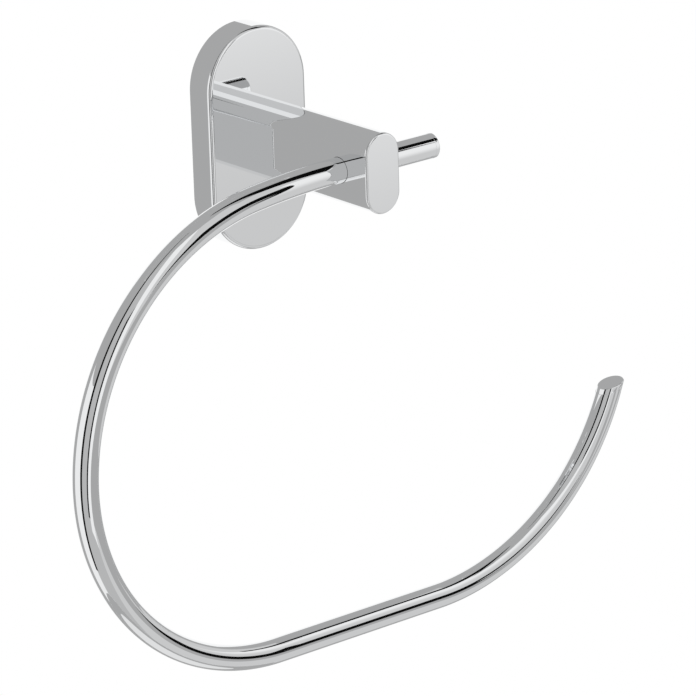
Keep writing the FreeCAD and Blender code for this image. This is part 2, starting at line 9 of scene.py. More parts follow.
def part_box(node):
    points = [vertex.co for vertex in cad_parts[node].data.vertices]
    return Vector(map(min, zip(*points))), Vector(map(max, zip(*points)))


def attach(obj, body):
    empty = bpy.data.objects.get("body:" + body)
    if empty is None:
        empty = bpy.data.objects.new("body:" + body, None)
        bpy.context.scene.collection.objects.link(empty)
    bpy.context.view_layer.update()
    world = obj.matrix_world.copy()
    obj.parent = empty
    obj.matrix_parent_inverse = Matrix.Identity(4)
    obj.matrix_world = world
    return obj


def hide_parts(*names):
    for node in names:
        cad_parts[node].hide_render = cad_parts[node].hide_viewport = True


bl_info = {
    "name": "Towel Ring",
    "version": (1, 0, 0),
    "blender": (4, 5, 0),
    "location": "View3D > Sidebar > Towel Ring",
    "description": "Builds a polished towel ring on its packed frame, and the studio it is seen in",
    "category": "Object",
}

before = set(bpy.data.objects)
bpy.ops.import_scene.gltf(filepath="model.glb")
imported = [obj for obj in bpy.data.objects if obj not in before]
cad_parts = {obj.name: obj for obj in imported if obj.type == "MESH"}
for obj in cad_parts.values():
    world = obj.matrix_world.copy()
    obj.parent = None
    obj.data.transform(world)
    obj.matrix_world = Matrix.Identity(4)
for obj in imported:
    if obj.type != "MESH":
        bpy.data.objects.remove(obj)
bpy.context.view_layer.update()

MM = 0.001
NEAR = 0.02 * MM  # how near a point lies to a surface to count as on it
PAST = 1 * MM  # how far a cutter reaches past what it cuts
TINY = 1e-12  # keeps a divisor above zero

ARC_STEPS = 48  # steps round each round end of the plate and the arm
SCREW_SIDES = 32  # faces round the holes of the arm's screws
SET_SCREW_SIDES = 48  # faces round the holes of the set screws
SCREW_CLEARANCE = 1.1  # how much wider a screw's clearance hole is than its tapped hole
TRUE_LEAN = 0.94  # cosine of the furthest that a true normal leans from its face's
BORE_LEAN = 0.1  # cosine of the furthest that a bore's face leans from pointing across it
BEND_PART = math.radians(20)  # the most that one part of the ring's curve turns

PLATE_LOW, PLATE_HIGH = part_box("wall_plate_cover")
ARM_LOW, ARM_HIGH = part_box("arm")
STUB_LOW, STUB_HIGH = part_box("stub_cap")
LOCK_LOW, LOCK_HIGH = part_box("plate_set_screw")
SCREW_LOW, SCREW_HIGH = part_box("arm_screw_upper")

ARM_LEVEL = (ARM_LOW.z + ARM_HIGH.z) / 2
UPPER_SCREW = (SCREW_LOW.z + SCREW_HIGH.z) / 2
SCREW_LEVELS = (UPPER_SCREW, 2 * ARM_LEVEL - UPPER_SCREW)
SET_SCREW_DEPTH = (LOCK_LOW.y + LOCK_HIGH.y) / 2
RING_LEVEL = (STUB_LOW.z + STUB_HIGH.z) / 2
RING_DEPTH = (STUB_LOW.y + STUB_HIGH.y) / 2


def size(name, about, default):
    """A length that a user can change, in metres."""
    return bpy.props.FloatProperty(
        name=name, description=about, default=default, unit="LENGTH", precision=5)


def angle(name, about, degrees):
    """An angle that a user can change; its default is written in degrees."""
    return bpy.props.FloatProperty(
        name=name, description=about, default=math.radians(degrees), subtype="ANGLE", precision=4)


def colour(name, about, default):
    """A colour that a user can change, as hexadecimal sRGB."""
    return bpy.props.StringProperty(name=name, description=about, default=default)


class PlateSizes(bpy.types.PropertyGroup):
    """Wall plate: an upright cover with round ends, hollow behind."""

    width: size("Width", "Across the plate", PLATE_HIGH.x - PLATE_LOW.x)
    height: size("Height", "Top to bottom", PLATE_HIGH.z - PLATE_LOW.z)
    edge: size("Edge", "Radius along the front edge", 1.3 * MM)
    rim: size("Rim", "Thickness of the rim", 1.8 * MM)
    front: size("Front", "Thickness of the front", 2.2 * MM)
    hook_height: size("Hook height", "How far the hook hangs down inside the rim", 2.5 * MM)
    hook_depth: size("Hook depth", "Thickness of the hook, off the wall", 1.5 * MM)
    pad: size("Pad", "Height of the solid pad at the lower end", 5.0 * MM)
    set_hole: size("Set hole", "Radius of the set screw's tapped hole", 2.05 * MM)


class ArmSizes(bpy.types.PropertyGroup):
    """Arm: a solid bar with round ends, standing off the plate."""

    width: size("Width", "Across the arm", ARM_HIGH.x - ARM_LOW.x)
    height: size("Height", "Top to bottom", ARM_HIGH.z - ARM_LOW.z)
    edge: size("Edge", "Radius along the tip's edge", 0.7 * MM)
    bore: size("Bore", "Radius of the bore that the ring passes through", 4.1 * MM)
    tap: size("Tap", "Radius of the tapped holes", 2.05 * MM)
    tap_depth: size("Tap depth", "Depth of the tapped holes in the back", 11.0 * MM)


class RingSizes(bpy.types.PropertyGroup):
    """Ring: one bent tube. The bends follow each other from the arm's left side to the free end."""

    radius: size("Tube radius", "Outside radius of the tube", (STUB_HIGH.z - STUB_LOW.z) / 2)
    wall: size("Wall", "Thickness of the tube's wall", 1.0 * MM)
    lead_length: size("Lead", "Straight run beyond the arm's left side", 1.5 * MM)
    lead_radius: size("Lead radius", "First gentle bend", 253.0 * MM)
    lead_angle: angle("Lead angle", "Turn of the first gentle bend", 7.2)
    upper_radius: size("Upper radius", "Upper left bend", 76.3 * MM)
    upper_angle: angle("Upper angle", "Turn of the upper left bend", 80.3)
    lower_radius: size("Lower radius", "Lower left bend, which ends level", 70.0 * MM)
    foot_length: size("Foot", "Level run along the bottom", 64.1 * MM)
    free_radius: size("Free radius", "Right bend, up to the free end", 80.2 * MM)
    free_angle: angle("Free angle", "Turn of the right bend", 70.3)
    step: size("Step", "Distance between the sweep's cross sections", 1.2 * MM)
    sides: bpy.props.IntProperty(name="Sides", description="Faces round the tube", default=72, min=12)


class CapSizes(bpy.types.PropertyGroup):
    """End caps: flush with the tube, one square and one slanting."""

    head: size("Head", "Thickness of a cap's head", 1.6 * MM)
    edge: size("Edge", "Radius along a cap's outer edge", 0.4 * MM)
    joint: size("Joint", "Radius where the stub's cap meets the tube", 0.12 * MM)
    free_joint: size("Free joint", "Radius where the free end's cap meets the tube", 0.02 * MM)
    spigot: size("Spigot", "Length of the spigot inside the tube", 3.5 * MM)
    spigot_radius: size("Spigot radius", "Radius of the spigot inside the tube", 2.4 * MM)
    slant: angle("Slant", "How far the free end's face is turned from square", 33.0)
    sides: bpy.props.IntProperty(name="Sides", description="Faces round a cap", default=96, min=12)


class Finishes(bpy.types.PropertyGroup):
    """Colours of the metals."""

    chrome: colour("Chrome", "Polished chrome plating", "#F4F5F6")
    zinc: colour("Zinc", "Zinc plated sheet steel", "#A9AFB4")
    zinc_patches: colour("Zinc patches", "Darker patches in the zinc plating", "#8E959B")
    nickel: colour("Nickel", "Plated screws", "#B9B6AE")
    oxide: colour("Oxide", "Black oxide set screws", "#2B2B2E")


class StudioSizes(bpy.types.PropertyGroup):
    """Camera, light, floor, and the tones that the chrome reflects."""

    lens: bpy.props.FloatProperty(name="Lens", description="Focal length on a 36 mm sensor", default=255.9)
    yaw: angle("Yaw", "Camera's turn to the right of straight at the wall", 39.194)
    pitch: angle("Pitch", "Camera's look downwards", 18.606)
    roll: angle("Roll", "Camera's roll", -1.810)
    world: bpy.props.FloatProperty(name="World", description="Level of the light all round", default=1.0)
    lamp: bpy.props.FloatProperty(name="Lamp", description="Power of the soft lamp, in watts", default=2.0)
    lamp_size: size("Lamp size", "Side of the soft lamp", 0.8)
    floor: size("Floor", "Height of the floor, from the plate's middle", -1.6)
    floor_radius: size("Floor radius", "Reach of the round floor", 0.6)
    floor_colour: colour("Floor colour", "Pale floor", "#E6E6E6")
    flag: colour("Flag", "Black flags", "#0C0C0C")
    wall: colour("Wall", "Grey walls", "#ACACAC")
    pale_wall: colour("Pale wall", "Paler wall in front", "#BCBCBC")
    screen: colour("Screen", "Pale screens", "#D0D0D0")
    softbox: colour("Softbox", "Lit softboxes", "#F4F4F4")


# Shared geometry


def settings():
    """The scene's settings."""
    return bpy.context.scene.towel_ring


def obround(width, height, middle, steps):
    """Outline of an upright bar with round ends, as (x, z) points, from its right side upwards."""
    radius, straight = width / 2, (height - width) / 2
    points = []
    for centre, start in ((middle + straight, 0.0), (middle - straight, math.pi)):
        for step in range(steps + 1):
            turn = start + math.pi * step / steps
            points.append((radius * math.cos(turn), centre + radius * math.sin(turn)))
    return points


def trimmed_obround(width, height, top, bottom, steps):
    """The same outline, cut level at the top and the bottom."""
    return [(x, min(max(z, bottom), top)) for x, z in obround(width, height, 0.0, steps)]


def solid_from_loops(name, loops):
    """A closed mesh from outlines of equal length, joined one to the next and capped at both ends."""
    mesh = bmesh.new()
    rings = [[mesh.verts.new(point) for point in loop] for loop in loops]
    for lower, upper in zip(rings, rings[1:]):
        for index in range(len(lower)):
            following = (index + 1) % len(lower)
            mesh.faces.new((lower[index], lower[following], upper[following], upper[index]))
    mesh.faces.new(list(reversed(rings[0])))
    mesh.faces.new(rings[-1])
    bmesh.ops.remove_doubles(mesh, verts=mesh.verts, dist=NEAR / 10)
    bmesh.ops.recalc_face_normals(mesh, faces=mesh.faces)
    return object_from(name, mesh)


def object_from(name, mesh):
    """Turns a bmesh into an object at the origin."""
    data = bpy.data.meshes.new(name)
    mesh.to_mesh(data)
    mesh.free()
    made = bpy.data.objects.new(name, data)
    bpy.context.scene.collection.objects.link(made)
    return made


def rounded_bar(name, width, height, middle, back, front, edge, edge_steps=10):
    """An upright bar with round ends from Y = back to Y = front, its front edge rounded."""
    profile = [(0.0, back)]
    for step in range(edge_steps + 1):
        turn = math.pi / 2 * step / edge_steps
        profile.append((edge * (1 - math.cos(turn)), front + edge * (1 - math.sin(turn))))
    loops = []
    for inset, y in profile:
        outline = obround(width - 2 * inset, height - 2 * inset, middle, ARC_STEPS)
        loops.append([(x, y, z) for x, z in outline])
    return solid_from_loops(name, loops)


def prism(name, outline, back, front):
    """A cutter with a flat outline in X and Z, from Y = back to Y = front."""
    return solid_from_loops(name, [[(x, y, z) for x, z in outline] for y in (back, front)])


def rod(name, start, end, radius, sides=96):
    """A cylinder between two points, used as a cutter."""
    start, end = Vector(start), Vector(end)
    turn = (end - start).to_track_quat("Z", "Y").to_matrix()
    ring = [turn @ Vector((radius * math.cos(a), radius * math.sin(a), 0)) for a in full_turn(sides)]
    return solid_from_loops(name, [[place + point for point in ring] for place in (start, end)])


def full_turn(sides):
    """The angles of that many equal steps round a circle."""
    return [2 * math.pi * step / sides for step in range(sides)]


def cut_away(piece, cutters):
    """Cuts the cutters out of the piece and removes them."""
    for cutter in cutters:
        cut = piece.modifiers.new(cutter.name, "BOOLEAN")
        cut.operation = "DIFFERENCE"
        cut.solver = "EXACT"
        cut.object = cutter
    apply_all(piece)
    for cutter in cutters:
        bpy.data.objects.remove(cutter)


def apply_all(piece):
    """Gives the piece the mesh that its modifiers make, and removes them."""
    evaluated = piece.evaluated_get(bpy.context.evaluated_depsgraph_get())
    made = bpy.data.meshes.new_from_object(evaluated)
    piece.modifiers.clear()
    piece.data = made
    made.name = piece.name


def shade_exactly(piece, exact_normal):
    """Gives each corner its surface's own normal, so that mirror reflections run clean.

    exact_normal(points, normals) has the corners and their faces' normals, one row each, and gives
    the true normals. Where one is far from its face's, the face's own stays."""
    mesh = piece.data
    mesh.shade_smooth()
    corners = np.array([mesh.vertices[loop.vertex_index].co for loop in mesh.loops])
    flat = np.zeros_like(corners)
    for face in mesh.polygons:
        flat[face.loop_start:face.loop_start + face.loop_total] = face.normal
    exact = exact_normal(corners, flat)
    exact /= np.maximum(np.linalg.norm(exact, axis=1), TINY)[:, None]
    wrong = (exact * flat).sum(axis=1) < TRUE_LEAN
    exact[wrong] = flat[wrong]
    mesh.normals_split_custom_set([tuple(normal) for normal in exact])


def bar_normal(width, height, middle, front, edge):
    """True normals of a bar with round ends and a rounded front edge."""
    straight = (height - width) / 2
    core = width / 2 - edge

    def exact(points, flat):
        x, y, z = points[:, 0], points[:, 1], points[:, 2] - middle
        end = np.clip(z, -straight, straight)
        reach = np.maximum(np.hypot(x, z - end), TINY)
        share = np.minimum(core / reach, 1.0)
        sunk = np.maximum(y, front + edge)
        return np.stack((x - x * share, y - sunk, (z - end) * (1 - share)), axis=1)

    return exact


def bore_normal(place, direction, radius, otherwise):
    """True normals inside a round bore, and those of another rule elsewhere."""
    place, direction = np.array(place), np.array(direction)

    def exact(points, flat):
        result = otherwise(points, flat)
        away = points - place
        away = away - (away @ direction)[:, None] * direction
        inside = np.abs(np.linalg.norm(away, axis=1) - radius) < NEAR
        inside &= np.abs(flat @ direction) < BORE_LEAN
        result[inside] = -away[inside]
        return result

    return exact


# The ring's line


class Run:
    """A straight run, or a bend to the left, of the ring's line in the plane of X and Z."""

    def __init__(self, start, heading, length, radius=None):
        self.start = np.array(start, float)
        self.heading = heading
        self.length = length
        self.radius = radius
        self.forward = np.array((math.cos(heading), math.sin(heading)))
        self.left = np.array((-math.sin(heading), math.cos(heading)))
        if radius:
            self.centre = self.start + self.left * radius

    def at(self, distance):
        """Place and heading at a distance along the run."""
        if not self.radius:
            return self.start + self.forward * distance, self.heading
        heading = self.heading + distance / self.radius
        return self.centre + self.radius * np.array((math.sin(heading), -math.cos(heading))), heading

    def nearest(self, points):
        """The run's nearest place to each of many (x, z) points."""
        if not self.radius:
            along = np.clip((points - self.start) @ self.forward, 0.0, self.length)
            return self.start + along[:, None] * self.forward
        away = points - self.centre
        turn = np.arctan2(away @ self.forward, -(away @ self.left))
        middle = self.length / self.radius / 2
        turn = middle + (turn - middle + math.pi) % (2 * math.pi) - math.pi
        turn = self.heading + np.clip(turn, 0.0, 2 * middle)
        return self.centre + self.radius * np.stack((np.sin(turn), -np.cos(turn)), axis=1)


def ring_runs():
    """The ring's line from the stub's joint to the free end, with a short spare run after it."""
    ring, caps = settings().ring, settings().caps
    arm_side = settings().arm.width / 2
    joint = STUB_HIGH.x - caps.head
    place, heading = np.array((joint, RING_LEVEL)), math.pi
    first_turns = ring.lead_angle + ring.upper_angle
    plan = (
        (joint + arm_side + ring.lead_length, None),
        (ring.lead_radius * ring.lead_angle, ring.lead_radius),
        (ring.upper_radius * ring.upper_angle, ring.upper_radius),
        (ring.lower_radius * (math.pi - first_turns), ring.lower_radius),
        (ring.foot_length, None),
        (ring.free_radius * ring.free_angle, ring.free_radius),
        (2 * ring.radius * math.tan(caps.slant), None),
    )
    runs = []
    for length, radius in plan:
        runs.append(Run(place, heading, length, radius))
        place, heading = runs[-1].at(length)
    return runs


def ring_curve(runs):
    """The ring's line as one Bezier curve whose handles follow the bends."""
    stops = []
    for run in runs:
        pieces = 1
        if run.radius:
            pieces = math.ceil(run.length / run.radius / BEND_PART)
        part = run.length / pieces
        handle = part / 3
        if run.radius:
            handle = 4 / 3 * math.tan(part / run.radius / 4) * run.radius
        for piece in range(pieces):
            stops.append((run.at(part * piece), run.at(part * (piece + 1)), handle))
    data = bpy.data.curves.new("ring_line", "CURVE")
    data.dimensions = "3D"
    spline = data.splines.new("BEZIER")
    spline.bezier_points.add(len(stops))
    spline.resolution_u = 32
    for point in spline.bezier_points:
        point.handle_left_type = point.handle_right_type = "FREE"
    for index, ((start, start_heading), (end, end_heading), handle) in enumerate(stops):
        first, second = spline.bezier_points[index], spline.bezier_points[index + 1]
        first.co, second.co = on_ring_plane(start), on_ring_plane(end)
        first.handle_right = on_ring_plane(start + handle * flat_direction(start_heading))
        second.handle_left = on_ring_plane(end - handle * flat_direction(end_heading))
        if index == 0:
            first.handle_left = on_ring_plane(start - handle * flat_direction(start_heading))
        second.handle_right = on_ring_plane(end + handle * flat_direction(end_heading))
    made = bpy.data.objects.new("ring_line", data)
    bpy.context.scene.collection.objects.link(made)
    return made


def flat_direction(heading):
    """Unit step in X and Z for a heading."""
    return np.array((math.cos(heading), math.sin(heading)))


def on_ring_plane(point):
    """A point of the ring's line in space."""
    return Vector((point[0], RING_DEPTH, point[1]))


def ring_normal(runs):
    """True normals of the tube, outside and in."""

    def exact(points, flat):
        across = points[:, (0, 2)]
        centres = np.stack([run.nearest(across) for run in runs])
        reach = np.linalg.norm(across - centres, axis=2)
        centre = centres[np.argmin(reach, axis=0), np.arange(len(points))]
        away = np.stack((across[:, 0] - centre[:, 0], points[:, 1] - RING_DEPTH,
                         across[:, 1] - centre[:, 1]), axis=1)
        inner = (away * flat).sum(axis=1) < 0
        away[inner] *= -1
        return away

    return exact


# Node helpers


def linear(code):
    """A hexadecimal sRGB colour as linear RGBA."""
    parts = [int(code[place:place + 2], 16) / 255 for place in (1, 3, 5)]
    return [c / 12.92 if c <= 0.04045 else ((c + 0.055) / 1.055) ** 2.4 for c in parts] + [1.0]


def add_node(tree, kind, inputs=None, **properties):
    """Adds a node; an input that is given a socket is linked to it, and any other is set."""
    node = tree.nodes.new(kind)
    for name, value in properties.items():
        setattr(node, name, value)
    for name, value in (inputs or {}).items():
        if isinstance(value, bpy.types.NodeSocket):
            tree.links.new(value, node.inputs[name])
        else:
            node.inputs[name].default_value = value
    return node


def new_material(name):
    """An empty material and its tree."""
    material = bpy.data.materials.new(name)
    material.use_nodes = True
    material.node_tree.nodes.clear()
    return material, material.node_tree


def finish_material(material, tree, shader):
    """Joins the shader to the material's output."""
    add_node(tree, "ShaderNodeOutputMaterial", {"Surface": shader.outputs[0]})
    return material


def polished_chrome(name, wave_mm, wave_depth_mm, haze=0.03):
    """Polished chrome plating: a mirror that bends reflections very slightly, as buffed metal does.

    wave_mm is the width of the buffing's soft waves, wave_depth_mm their depth, and haze the roughness
    at the dullest spots, which takes the hard edge off a reflection."""
    material, tree = new_material(name)
    place = add_node(tree, "ShaderNodeTexCoord").outputs["Object"]
    waves = add_node(tree, "ShaderNodeTexNoise", {
        "Vector": place, "Scale": 1 / (wave_mm * MM), "Detail": 1.0,
    })
    bump = add_node(tree, "ShaderNodeBump", {
        "Strength": 1.0, "Distance": wave_depth_mm * MM, "Height": waves.outputs["Fac"],
    })
    clouds = add_node(tree, "ShaderNodeTexNoise", {
        "Vector": place, "Scale": 1 / (6 * MM), "Detail": 3.0,
    })
    gloss = add_node(tree, "ShaderNodeMapRange", {
        "Value": clouds.outputs["Fac"],
        "From Min": 0.3,
        "From Max": 0.7,
        "To Min": haze / 3,
        "To Max": haze,
    })
    shader = add_node(tree, "ShaderNodeBsdfPrincipled", {
        "Base Color": linear(settings().finish.chrome),
        "Metallic": 1.0,
        "Roughness": gloss.outputs["Result"],
        "Normal": bump.outputs["Normal"],
    })
    return finish_material(material, tree, shader)


def zinc_sheet():
    """Zinc plated sheet steel: a cool satin grey with the soft patches of passivated plating."""
    material, tree = new_material("zinc_plated_steel")
    place = add_node(tree, "ShaderNodeTexCoord").outputs["Object"]
    patches = add_node(tree, "ShaderNodeTexVoronoi", {"Vector": place, "Scale": 1 / (5 * MM)})
    grain = add_node(tree, "ShaderNodeTexNoise", {
        "Vector": place, "Scale": 1 / (0.4 * MM), "Detail": 4.0,
    })
    tone = add_node(tree, "ShaderNodeMix", {
        "Factor": patches.outputs["Distance"],
        "A": linear(settings().finish.zinc),
        "B": linear(settings().finish.zinc_patches),
    }, data_type="RGBA")
    gloss = add_node(tree, "ShaderNodeMapRange", {
        "Value": grain.outputs["Fac"], "To Min": 0.28, "To Max": 0.5,
    })
    bump = add_node(tree, "ShaderNodeBump", {"Distance": 0.01 * MM, "Height": grain.outputs["Fac"]})
    shader = add_node(tree, "ShaderNodeBsdfPrincipled", {
        "Base Color": tone.outputs["Result"],
        "Metallic": 1.0,
        "Roughness": gloss.outputs["Result"],
        "Normal": bump.outputs["Normal"],
    })
    return finish_material(material, tree, shader)


def turned_steel(name, code, dull):
    """Turned steel screws: fine rings of tool marks across the thread's axis catch the light."""
    material, tree = new_material(name)
    place = add_node(tree, "ShaderNodeTexCoord").outputs["Object"]
    marks = add_node(tree, "ShaderNodeTexWave", {
        "Vector": place, "Scale": 1 / (1.2 * MM), "Distortion": 0.6, "Detail": 2.0,
    }, wave_type="BANDS", bands_direction="DIAGONAL")
    wear = add_node(tree, "ShaderNodeTexNoise", {
        "Vector": place, "Scale": 1 / (1.5 * MM), "Detail": 5.0,
    })
    gloss = add_node(tree, "ShaderNodeMapRange", {
        "Value": wear.outputs["Fac"], "To Min": dull * 0.6, "To Max": dull,
    })
    bump = add_node(tree, "ShaderNodeBump", {"Distance": 0.015 * MM, "Height": marks.outputs["Fac"]})
    shader = add_node(tree, "ShaderNodeBsdfPrincipled", {
        "Base Color": linear(code),
        "Metallic": 1.0,
        "Roughness": gloss.outputs["Result"],
        "Normal": bump.outputs["Normal"],
    })
    return finish_material(material, tree, shader)


def dress(piece, node, material):
    """Puts a finished piece on the frame in place of its plain node."""
    piece.data.materials.clear()
    piece.data.materials.append(material)
    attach(piece, "root")
    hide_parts(node)


# Pieces


class TOWELRING_OT_plate(bpy.types.Operator):
    """Wall plate, cut hollow behind, with its hook, its lower pad and its screw holes"""

    bl_idname = "towel_ring.plate"
    bl_label = "Wall plate"

    def execute(self, context):
        plate, arm = settings().plate, settings().arm
        front, inside = PLATE_LOW.y, PLATE_LOW.y + plate.front
        piece = rounded_bar(
            "wall_plate", plate.width, plate.height, 0.0, PLATE_HIGH.y, front, plate.edge)
        wide, high = plate.width - 2 * plate.rim, plate.height - 2 * plate.rim
        floor = plate.pad - high / 2
        mouth = trimmed_obround(wide, high, high / 2 - plate.hook_height, floor, ARC_STEPS)
        chamber = trimmed_obround(wide, high, high / 2, floor, ARC_STEPS)
        cutters = [
            prism("mouth", mouth, PLATE_HIGH.y + PAST, PLATE_HIGH.y - plate.hook_depth - NEAR),
            prism("chamber", chamber, PLATE_HIGH.y - plate.hook_depth, inside),
        ]
        for level in SCREW_LEVELS:
            start, end = (0, inside + PAST, level), (0, front - PAST, level)
            cutters.append(rod("screw_hole", start, end, arm.tap * SCREW_CLEARANCE, SCREW_SIDES))
        start, end = (0, SET_SCREW_DEPTH, PLATE_LOW.z - PAST), (0, SET_SCREW_DEPTH, floor + PAST)
        cutters.append(rod("set_hole", start, end, plate.set_hole, SET_SCREW_SIDES))
        cut_away(piece, cutters)
        rule = bar_normal(plate.width, plate.height, 0.0, front, plate.edge)
        rule = bore_normal((0, SET_SCREW_DEPTH, 0), (0, 0, 1), plate.set_hole, rule)
        shade_exactly(piece, rule)
        chrome = polished_chrome("polished_chrome_plate", wave_mm=30, wave_depth_mm=0.0006)
        dress(piece, "wall_plate_cover", chrome)
        return {"FINISHED"}


class TOWELRING_OT_arm(bpy.types.Operator):
    """Arm, bored across for the ring and tapped behind and below"""

    bl_idname = "towel_ring.arm"
    bl_label = "Arm"

    def execute(self, context):
        arm = settings().arm
        piece = rounded_bar(
            "arm_bar", arm.width, arm.height, ARM_LEVEL, ARM_HIGH.y, ARM_LOW.y, arm.edge)
        start, end = (-arm.width, RING_DEPTH, RING_LEVEL), (arm.width, RING_DEPTH, RING_LEVEL)
        cutters = [rod("ring_bore", start, end, arm.bore)]
        start, end = (0, RING_DEPTH, ARM_LOW.z - PAST), (0, RING_DEPTH, RING_LEVEL)
        cutters.append(rod("set_hole", start, end, arm.tap, SET_SCREW_SIDES))
        for level in SCREW_LEVELS:
            start, end = (0, ARM_HIGH.y + PAST, level), (0, ARM_HIGH.y - arm.tap_depth, level)
            cutters.append(rod("screw_tap", start, end, arm.tap, SCREW_SIDES))
        cut_away(piece, cutters)
        rule = bar_normal(arm.width, arm.height, ARM_LEVEL, ARM_LOW.y, arm.edge)
        rule = bore_normal((0, RING_DEPTH, RING_LEVEL), (1, 0, 0), arm.bore, rule)
        rule = bore_normal((0, RING_DEPTH, 0), (0, 0, 1), arm.tap, rule)
        shade_exactly(piece, rule)
        chrome = polished_chrome("polished_chrome_arm", wave_mm=30, wave_depth_mm=0.0006)
        dress(piece, "arm", chrome)
        return {"FINISHED"}


def sweep_tree():
    """Geometry nodes that sweep a hollow tube along a curve."""
    tree = bpy.data.node_groups.new("tube_sweep", "GeometryNodeTree")
    face = tree.interface
    face.new_socket("Geometry", in_out="INPUT", socket_type="NodeSocketGeometry")
    face.new_socket("Radius", in_out="INPUT", socket_type="NodeSocketFloat")
    face.new_socket("Wall", in_out="INPUT", socket_type="NodeSocketFloat")
    face.new_socket("Step", in_out="INPUT", socket_type="NodeSocketFloat")
    face.new_socket("Sides", in_out="INPUT", socket_type="NodeSocketInt")
    face.new_socket("Material", in_out="INPUT", socket_type="NodeSocketMaterial")
    face.new_socket("Geometry", in_out="OUTPUT", socket_type="NodeSocketGeometry")
    given = add_node(tree, "NodeGroupInput").outputs
    line = add_node(tree, "GeometryNodeResampleCurve", {
        "Curve": given["Geometry"], "Length": given["Step"],
    }, mode="LENGTH").outputs["Curve"]
    inner = add_node(tree, "ShaderNodeMath", operation="SUBTRACT")
    tree.links.new(given["Radius"], inner.inputs[0])
    tree.links.new(given["Wall"], inner.inputs[1])
    walls = []
    for radius in (given["Radius"], inner.outputs[0]):
        circle = add_node(tree, "GeometryNodeCurvePrimitiveCircle", {
            "Resolution": given["Sides"], "Radius": radius,
        })
        sweep = add_node(tree, "GeometryNodeCurveToMesh", {
            "Curve": line, "Profile Curve": circle.outputs["Curve"], "Fill Caps": False,
        })
        walls.append(sweep.outputs["Mesh"])
    walls[1] = add_node(tree, "GeometryNodeFlipFaces", {"Mesh": walls[1]}).outputs["Mesh"]
    both = add_node(tree, "GeometryNodeJoinGeometry")
    for wall in walls:
        tree.links.new(wall, both.inputs["Geometry"])
    real = add_node(tree, "GeometryNodeRealizeInstances", {"Geometry": both.outputs["Geometry"]})
    coated = add_node(tree, "GeometryNodeSetMaterial", {
        "Geometry": real.outputs["Geometry"], "Material": given["Material"],
    })
    add_node(tree, "NodeGroupOutput", {"Geometry": coated.outputs["Geometry"]})
    return tree


def close_end(mesh, chosen):
    """Joins the tube's outer and inner edge at one end."""
    rim = [edge for edge in mesh.edges if edge.is_boundary and chosen(edge)]
    bmesh.ops.bridge_loops(mesh, edges=rim)


class TOWELRING_OT_ring(bpy.types.Operator):
    """Ring, one hollow tube swept along straight runs and bends, cut on a slant at its free end"""

    bl_idname = "towel_ring.ring"
    bl_label = "Ring"

    def execute(self, context):
        ring, caps = settings().ring, settings().caps
        runs = ring_runs()
        chrome = polished_chrome("polished_chrome_tube", wave_mm=40, wave_depth_mm=0.0008)
        line = ring_curve(runs)
        tree = sweep_tree()
        sweep = line.modifiers.new("tube", "NODES")
        sweep.node_group = tree
        wanted = {"Radius": ring.radius, "Wall": ring.wall, "Step": ring.step,
                  "Sides": ring.sides, "Material": chrome}
        for socket in tree.interface.items_tree:
            if socket.in_out == "INPUT" and socket.name in wanted:
                sweep[socket.identifier] = wanted[socket.name]
        evaluated = line.evaluated_get(context.evaluated_depsgraph_get())
        swept = bpy.data.meshes.new_from_object(evaluated)
        bpy.data.objects.remove(line)

        mesh = bmesh.new()
        mesh.from_mesh(swept)
        bpy.data.meshes.remove(swept)
        place, outward = free_end()
        joint = place - outward * caps.head
        everything = list(mesh.verts) + list(mesh.edges) + list(mesh.faces)
        bmesh.ops.bisect_plane(mesh, geom=everything, plane_co=joint, plane_no=outward,
                               clear_outer=False, clear_inner=False)
        reach = 4 * ring.radius  # as far as the spare run goes, and no other part of the ring
        beyond = [vert for vert in mesh.verts
                  if (vert.co - joint).dot(outward) > NEAR and (vert.co - joint).length < reach]
        bmesh.ops.delete(mesh, geom=beyond, context="VERTS")
        close_end(mesh, self.at_stub)
        close_end(mesh, lambda edge: True)
        bmesh.ops.recalc_face_normals(mesh, faces=mesh.faces)
        piece = object_from("ring_bar", mesh)
        shade_exactly(piece, ring_normal(runs))
        dress(piece, "ring_tube", chrome)
        return {"FINISHED"}

    def at_stub(self, edge):
        """Whether an edge lies at the tube's short end."""
        corner = edge.verts[0].co
        ring, caps = settings().ring, settings().caps
        return corner.x > STUB_HIGH.x - 2 * caps.head and corner.z > -2 * ring.radius


def free_end():
    """Middle of the free end's face, and the direction that it faces."""
    caps = settings().caps
    end, heading = ring_runs()[-1].at(0.0)
    facing = heading + caps.slant
    return on_ring_plane(end), Vector((math.cos(facing), 0.0, math.sin(facing)))


def end_cap(name, slant, joint):
    """A cap standing on its own Z axis, its face round Z = 0: a head flush with the tube, and a spigot.

    The face's edge is rolled by a ball that touches the side and the slanting face all the way round."""
    caps, ring = settings().caps, settings().ring
    radius, stretch = ring.radius, 1 / math.cos(slant)
    joint_steps, edge_steps = 5, 8
    profile = [(0.0, -caps.head - caps.spigot), (caps.spigot_radius, -caps.head - caps.spigot),
               (caps.spigot_radius, -caps.head), (radius - joint, -caps.head)]
    for step in range(1, joint_steps + 1):
        turn = math.pi / 2 * step / joint_steps
        rise = joint * (1 - math.cos(turn))
        profile.append((radius - joint * (1 - math.sin(turn)), rise - caps.head))
    turns = full_turn(caps.sides)
    loops = []
    for reach, height in profile:
        ring_points = [(reach * math.cos(a), reach * math.sin(a)) for a in turns]
        loops.append([(x, y, height * stretch + x * math.tan(slant)) for x, y in ring_points])
    facing = Vector((-math.sin(slant), 0.0, math.cos(slant)))
    for step in range(edge_steps + 1):
        share = step / edge_steps
        loops.append([rolled_edge(a, radius, caps.edge, slant, facing, share) for a in turns])
    return solid_from_loops(name, loops)


